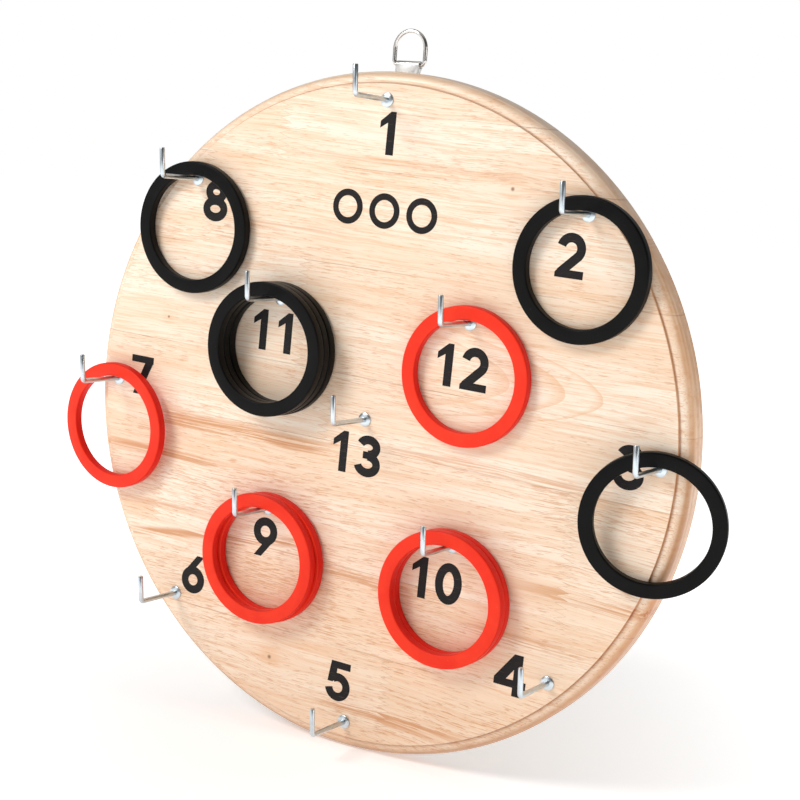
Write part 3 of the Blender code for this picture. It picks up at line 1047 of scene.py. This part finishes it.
def make_strap(material):
    """The folded strap: sheet metal bent round the wire's leg, rounded below and drilled twice."""
    low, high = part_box("hanger_strap")
    wire_low, wire_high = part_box("hanger_ring")
    width = high.x - low.x
    middle = (wire_low.y + wire_high.y) / 2
    outer = high.z - D_LEG_HEIGHT
    inner = outer - STRAP_SHEET
    back = low.y + 2 * STRAP_SHEET

    # The sheet from the side, the eye through its bend and the crease between its layers. Local X
    # is the world's Y and local Y is the world's Z.
    sideways = Matrix(((0, 0, 1, 0), (1, 0, 0, 0), (0, 1, 0, 0), (0, 0, 0, 1)))
    side = [(low.y, low.z)] + arc((middle, D_LEG_HEIGHT), outer, 180, -50, 28)
    side += [(back + 0.0002, D_LEG_HEIGHT - 1.9 * outer), (back, D_LEG_HEIGHT - 2.3 * outer)]
    side.append((back, low.z))
    sheet = slab(side, width, sideways)
    eye = slab(arc((middle, D_LEG_HEIGHT), inner, 0, 360, 40)[:-1], 2 * width, sideways)
    meeting = low.y + STRAP_SHEET
    gap = rectangle(
        meeting - CREASE_HALF_GAP, low.z - 0.001, meeting + CREASE_HALF_GAP, D_LEG_HEIGHT - outer
    )
    crease = slab(gap, 2 * width, sideways)

    # The strap from the front: open at the top, round at the bottom, with two screw holes.
    shoulder = low.z + width / 2
    plan = [(width, high.z + 0.01), (-width, high.z + 0.01), (-width, shoulder), (-width / 2, shoulder)]
    plan += arc((0, shoulder), width / 2, 180, 360, 32) + [(width, shoulder)]
    upright = facing_front(0, 0, middle)
    outline = slab(plan, 6 * outer, upright)
    holes = []
    for which in ("upper", "lower"):
        screw_low, screw_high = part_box(f"hanger_screw_{which}")
        center = ((screw_low.x + screw_high.x) / 2, (screw_low.z + screw_high.z) / 2)
        holes.append(slab(arc(center, STRAP_HOLE_RADIUS, 0, 360, 32)[:-1], 6 * outer, upright))
    mesh = carved(sheet, [outline], "INTERSECT")
    mesh = carved(mesh, [eye, crease] + holes, "DIFFERENCE", STRAP_BEVEL)
    mesh.shade_smooth()
    mesh.set_sharp_from_angle(angle=math.radians(32))
    new_piece("hanger_fold", mesh, material, BOARD_BODY, "hanger_strap")


def make_hanger(material, sheet_material):
    """The folded strap, the D-shaped wire and the two screws on the board's back."""
    make_strap(sheet_material)
    low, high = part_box("hanger_ring")
    strap_low, strap_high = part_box("hanger_strap")
    radius = (high.y - low.y) / 2
    half_width = (high.x - low.x) / 2 - radius
    leg_end = (strap_high.x - strap_low.x) / 2
    depth = (low.y + high.y) / 2
    crown = high.z - radius - half_width
    outline = oval((0, crown), half_width, half_width, 0, 180, 48)
    for side in (-1, 1):
        start = Vector((side * half_width, D_LEG_HEIGHT + D_CORNER_RISE))
        end = Vector((side * leg_end, D_LEG_HEIGHT))
        bow = Vector((side * half_width, D_LEG_HEIGHT + D_CORNER_RISE * 0.1))
        corner = []
        for t in (0, 0.2, 0.4, 0.6, 0.8, 1):
            corner.append((1 - t) ** 2 * start + 2 * t * (1 - t) * bow + t**2 * end)
        outline += corner if side < 0 else corner[::-1]
    points = [(x, depth, z) for x, z in outline]
    curve = wire_curve("hanger_d_wire", points, radius, cyclic=True)
    new_piece("hanger_d_wire", curve, material, HANGER_BODY, "hanger_ring")
    for which in ("upper", "lower"):
        make_hanger_screw(which, material)


def make_hanger_screw(which, material):
    """A pan head with a cross recess, and its pointed shank."""
    node = f"hanger_screw_{which}"
    low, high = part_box(node)
    radius = (high.x - low.x) / 2
    center = ((low.x + high.x) / 2, (low.z + high.z) / 2)
    rise = HANGER_HEAD_HEIGHT
    seat = high.y - rise
    profile = [(0, rise)]
    for angle in (0.25, 0.5, 0.75, 1.0, 1.25, 1.5):
        profile.append((radius * math.sin(angle), rise * (0.35 + 0.65 * math.cos(angle))))
    tip = low.y - seat
    profile += [(radius, 0), (SCREW_SHANK_RADIUS, 0), (SCREW_SHANK_RADIUS, tip + SCREW_POINT), (0, tip)]
    head = lathe("head", profile, 40, facing_back(*center, seat), closed=False)
    half = radius * 0.58
    blade = rectangle(-half, -CROSS_HALF_WIDTH, half, CROSS_HALF_WIDTH)
    blades = []
    for angle in (20, 110):
        place = facing_back(*center, high.y) @ Matrix.Rotation(math.radians(angle), 4, "Z")
        blades.append(slab(blade, CROSS_PLATE, place))
    mesh = carved(head, blades)
    name = f"hanger_pan_screw_{which}"
    mesh.shade_smooth()
    mesh.set_sharp_from_angle(angle=math.radians(35))
    new_piece(name, mesh, material, BOARD_BODY, node)


# ---------------------------------------------------------------------------------------------
# Studio
# ---------------------------------------------------------------------------------------------


def make_camera():
    camera = bpy.data.objects.new("camera", bpy.data.cameras.new("camera"))
    bpy.context.scene.collection.objects.link(camera)
    camera.data.lens = CAMERA_LENS
    camera.data.sensor_width = 36
    camera.data.clip_start = 0.01
    place, aim = Vector(CAMERA_PLACE), Vector(CAMERA_AIM)
    look = (aim - place).to_track_quat("-Z", "Y").to_matrix().to_4x4()
    camera.matrix_world = Matrix.Translation(place) @ look @ Matrix.Rotation(CAMERA_ROLL, 4, "Z")
    bpy.context.scene.camera = camera


def make_key_light():
    """A large round soft box above the camera's left."""
    light = bpy.data.lights.new("key", "AREA")
    light.shape = "DISK"
    light.size = KEY_SIZE
    light.energy = KEY_POWER
    light.color = KEY_COLOR
    lamp = bpy.data.objects.new("key", light)
    bpy.context.scene.collection.objects.link(lamp)
    turn = Vector(KEY_PLACE).to_track_quat("Z", "Y").to_matrix().to_4x4()
    lamp.matrix_world = Matrix.Translation(KEY_PLACE) @ turn


def make_world():
    """A white surround to the camera, and to the object a grey room with soft white panels."""
    world = bpy.data.worlds.new("studio")
    bpy.context.scene.world = world
    graph = Graph(world)
    direction = graph.add("ShaderNodeTexCoord").outputs["Generated"]
    level = ROOM_LEVEL
    for toward, inner, outer, strength in PANELS:
        aim = tuple(Vector(toward).normalized())
        cosine = graph.add("ShaderNodeVectorMath", {0: direction, 1: aim}, operation="DOT_PRODUCT")
        edge = math.cos(math.radians(outer)), math.cos(math.radians(inner))
        panel = graph.smooth(cosine.outputs["Value"], *edge)
        level = graph.math("ADD", level, graph.math("MULTIPLY", panel, strength))
    seen = graph.add("ShaderNodeLightPath").outputs["Is Camera Ray"]
    level = graph.math("ADD", level, graph.math("MULTIPLY", seen, graph.math("SUBTRACT", 1.0, level)))
    graph.feed(graph.nodes["Background"].inputs["Strength"], level)
    graph.nodes["Background"].inputs["Color"].default_value = (1, 1, 1, 1)


def make_floor(height):
    shape = bmesh.new()
    bmesh.ops.create_grid(shape, x_segments=8, y_segments=8, size=FLOOR_REACH)
    bmesh.ops.translate(shape, verts=shape.verts, vec=(0, 0, height))
    mesh = bpy.data.meshes.new("floor")
    shape.to_mesh(mesh)
    shape.free()
    mesh.materials.append(floor_material())
    floor = bpy.data.objects.new("floor", mesh)
    bpy.context.scene.collection.objects.link(floor)


def make_studio():
    bpy.context.scene.view_settings.view_transform = "Standard"
    make_world()
    make_key_light()
    make_floor(cad_box[0][2] - FLOOR_GAP)
    make_camera()


def main():
    wood = wood_material()
    ink = ink_material()
    zinc = plated_material("zinc_plate", color(0.62, 0.69, 0.73), color(0.55, 0.615, 0.655), 0.24)
    nickel = plated_material("nickel_plate", color(0.70, 0.67, 0.64), color(0.62, 0.59, 0.56), 0.16)
    sheet = plated_material("nickel_sheet", color(0.84, 0.83, 0.81), color(0.74, 0.73, 0.71), 0.3)
    black = rubber_material(
        "black_rubber_moulded",
        face=color(0.0046, 0.0045, 0.0045),
        mottle=color(0.0026, 0.0025, 0.0025),
        # The side colour is painted shade for the ring's walls.
        side=color(0.0028, 0.0026, 0.0024),
        dust=color(0.06, 0.057, 0.054),
        gloss=0.1,
    )
    red = rubber_material(
        "red_rubber_moulded",
        face=color(0.89, 0.044, 0.016),
        mottle=color(0.84, 0.030, 0.011),
        # The side colour is painted shade for the ring's walls.
        side=color(0.74, 0.009, 0.005),
        dust=color(0.92, 0.16, 0.11),
        gloss=0.14,
    )

    face_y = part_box("board")[0].y
    centers = hook_centers()
    make_board(wood)
    make_numbers(centers, face_y, ink)
    make_plain_mark(face_y, ink)
    for number, center in centers.items():
        make_hook(number, center, face_y, zinc)
        make_collar(number, center, face_y, zinc)
    for node in sorted(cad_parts):
        if node.startswith("black_ring"):
            make_ring(node, black)
        elif node.startswith("red_ring"):
            make_ring(node, red)
    make_hanger(nickel, sheet)
    make_studio()


main()
